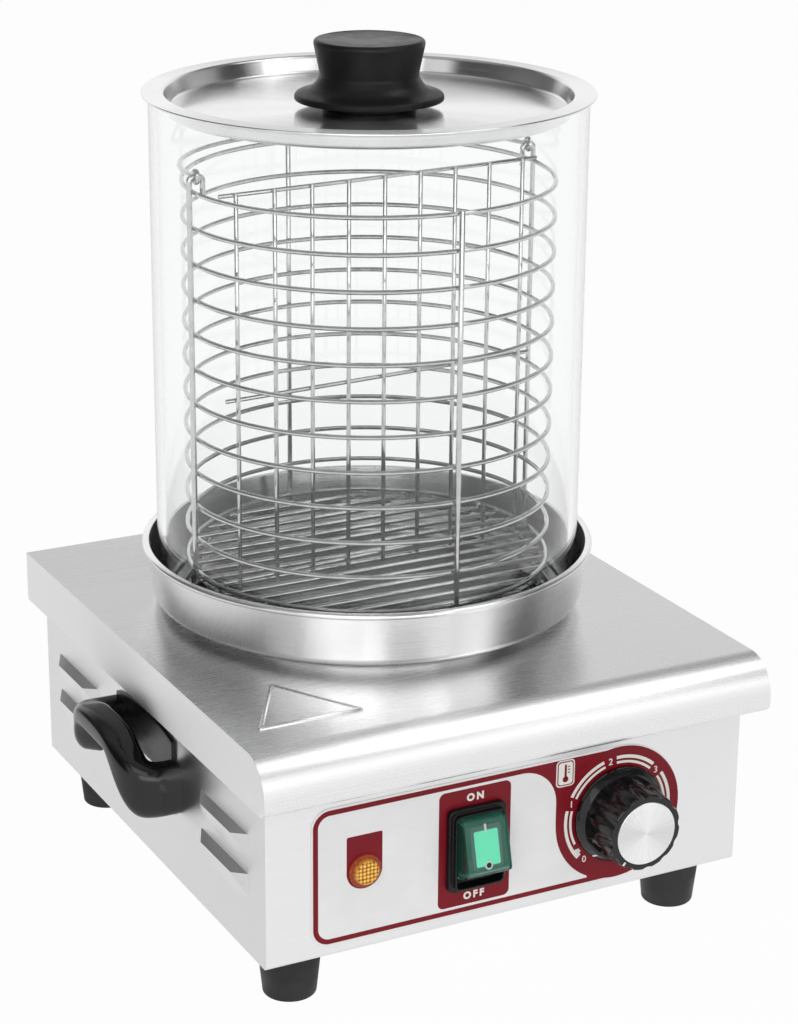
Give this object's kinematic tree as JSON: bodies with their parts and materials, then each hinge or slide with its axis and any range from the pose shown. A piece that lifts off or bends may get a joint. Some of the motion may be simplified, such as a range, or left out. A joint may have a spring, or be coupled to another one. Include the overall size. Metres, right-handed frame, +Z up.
{
  "type": "hot dog steamer",
  "caption": "Countertop sausage steamer: heated steel base with lamp, rocker switch and dial, water pan, glass cylinder with a knobbed lid, and a wire basket inside.",
  "frame": {"origin": "middle of the footprint box at the level of the surface that the feet stand on", "axes": "+Z up, -Y towards the front panel with the controls, +X to the right as seen from the front"},
  "size_m": [0.296, 0.3016, 0.3964],
  "materials": {
    "brushed_steel": "fine brushed stainless sheet",
    "pan_steel": "satin stainless, spun and pressed",
    "wire_steel": "bright stainless wire",
    "zinc": "zinc-plated steel",
    "cast_aluminium": "turned face",
    "black_plastic": "black moulded phenolic",
    "black_rubber": "black rubber",
    "label_film": "dark red and white printed film",
    "amber_lens": "amber, faceted inside",
    "inner_plastic": "dark moulding",
    "green_plastic": "lit green",
    "clear_cover": "clear, slightly frosted",
    "glass": "clear tempered glass"
  },
  "bodies": {
    "housing": {"bottom_plate": "brushed_steel", "cable_gland": "black_plastic", "clamp_nuts": "zinc", "clip_nuts": "zinc", "control_label": "label_film", "cover_nuts": "zinc", "earth_nut": "zinc", "earth_stud": "zinc", "element_clamp": "zinc", "foot_front_left": "black_rubber", "foot_front_right": "black_rubber", "foot_nuts": "zinc", "foot_rear_left": "black_rubber", "foot_rear_right": "black_rubber", "foot_screws": "zinc", "gland_nut": "black_plastic", "handle_left": "black_plastic", "handle_right": "black_plastic", "handle_screws": "zinc", "heat_shield": "zinc", "heating_element": "zinc", "heating_plate": "cast_aluminium", "housing_shell": "brushed_steel", "lamp_body": "inner_plastic", "lamp_lens": "amber_lens", "lamp_nut": "inner_plastic", "plate_clips": "zinc", "rear_panel": "brushed_steel", "rear_screws": "zinc", "rocker_pin": "zinc", "sensor_bulb": "zinc", "shield_nuts": "zinc", "switch_bezel": "black_plastic", "switch_body": "inner_plastic", "terminal_block": "inner_plastic", "terminal_screws": "zinc", "thermal_cutout": "zinc", "thermostat_body": "inner_plastic", "thermostat_screws": "zinc", "top_cover": "brushed_steel"},
    "water_pan": {"water_pan": "pan_steel"},
    "rack": {"rack_bars": "wire_steel", "rack_ring": "wire_steel", "rack_legs": "wire_steel", "rack_feet": "black_rubber"},
    "glass": {"glass_cylinder": "glass"},
    "lid": {"lid": "pan_steel", "lid_knob": "black_plastic", "lid_screw": "zinc"},
    "basket": {"basket_rings": "wire_steel", "basket_uprights": "wire_steel", "divider_frame": "wire_steel", "divider_bars": "wire_steel"},
    "bail": {"bail_handle": "wire_steel"},
    "rocker": {"switch_rocker": "green_plastic", "rocker_cover": "clear_cover"},
    "knob": {"thermostat_knob": "black_plastic", "knob_cap": "cast_aluminium", "thermostat_shaft": "zinc"}
  },
  "joints": [
    {"name": "pan_lift", "type": "slide", "parent": "housing", "child": "water_pan", "axis": [0, 0, 1], "range_m": [0, 0.06]},
    {"name": "glass_lift", "type": "slide", "parent": "water_pan", "child": "glass", "axis": [0, 0, 1], "range_m": [0, 0.26]},
    {"name": "lid_lift", "type": "slide", "parent": "glass", "child": "lid", "axis": [0, 0, 1], "range_m": [0, 0.45]},
    {"name": "rack_lift", "type": "slide", "parent": "water_pan", "child": "rack", "axis": [0, 0, 1], "range_m": [0, 0.039]},
    {"name": "basket_lift", "type": "slide", "parent": "rack", "child": "basket", "axis": [0, 0, 1], "range_m": [0, 0.27]},
    {"name": "bail_swing", "type": "hinge", "parent": "basket", "child": "bail", "pos_m": [0, 0.0177, 0.3416], "axis": [1, 0, 0], "range_deg": [0, 92.4]},
    {"name": "rocker_press", "type": "hinge", "parent": "housing", "child": "rocker", "pos_m": [-0.019, -0.12065, 0.0633], "axis": [1, 0, 0], "range_deg": [0, 28]},
    {"name": "dial_turn", "type": "hinge", "parent": "housing", "child": "knob", "pos_m": [0.0552, -0.12565, 0.0633], "axis": [0, 1, 0], "range_deg": [0, 233]}
  ],
  "couplings": [
    {"joint": "rack_lift", "follows": "glass_lift", "ratio": 0.15},
    {"joint": "basket_lift", "follows": "lid_lift", "ratio": 0.6},
    {"joint": "bail_swing", "follows": "lid_lift", "rad_per_m": 3.58}
  ]
}
